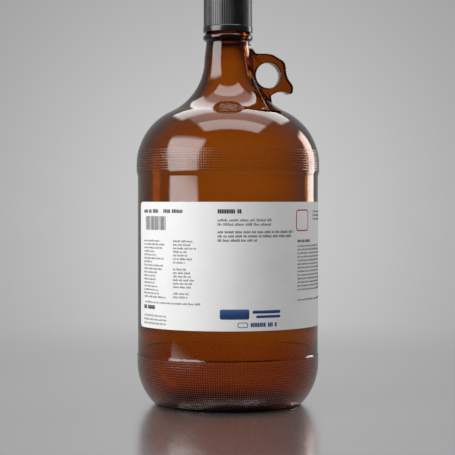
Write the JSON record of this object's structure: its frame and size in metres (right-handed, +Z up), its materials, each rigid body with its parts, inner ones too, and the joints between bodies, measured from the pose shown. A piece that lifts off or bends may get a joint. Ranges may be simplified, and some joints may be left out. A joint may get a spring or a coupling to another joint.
{
  "type": "reagent bottle",
  "caption": "Large amber glass reagent bottle with a finger ring on its neck, a ribbed black screw cap with a liner, stippled grip bands and a plain wrap label.",
  "frame": {"origin": "centre of the bottle's foot ring, on the surface that it stands on", "axes": "+Z up along the bottle's axis, +X towards the finger ring, and the label's print faces -Y"},
  "size_m": [0.1572, 0.1572, 0.3483],
  "materials": {
    "amber_glass": "clear gloss",
    "black_plastic": "satin",
    "liner_foam": "matte",
    "liner_facing": "satin",
    "label_paper": "satin"
  },
  "bodies": {
    "bottle": {"glass_bottle": "amber_glass", "finger_ring": "amber_glass", "label": "label_paper"},
    "liner": {"liner_foam": "liner_foam", "liner_facing": "liner_facing"},
    "cap": {"cap_shell": "black_plastic"}
  },
  "joints": [
    {"name": "cap_rise", "type": "slide", "parent": "bottle", "child": "liner", "axis": [0, 0, 1], "range_m": [0, 0.0339]},
    {"name": "cap_turn", "type": "hinge", "parent": "liner", "child": "cap", "pos_m": [0, 0, 0.33], "axis": [0, 0, 1], "range_deg": [0, 2880]}
  ],
  "couplings": [
    {"joint": "cap_rise", "follows": "cap_turn", "m_per_rad": 0.00067375}
  ]
}
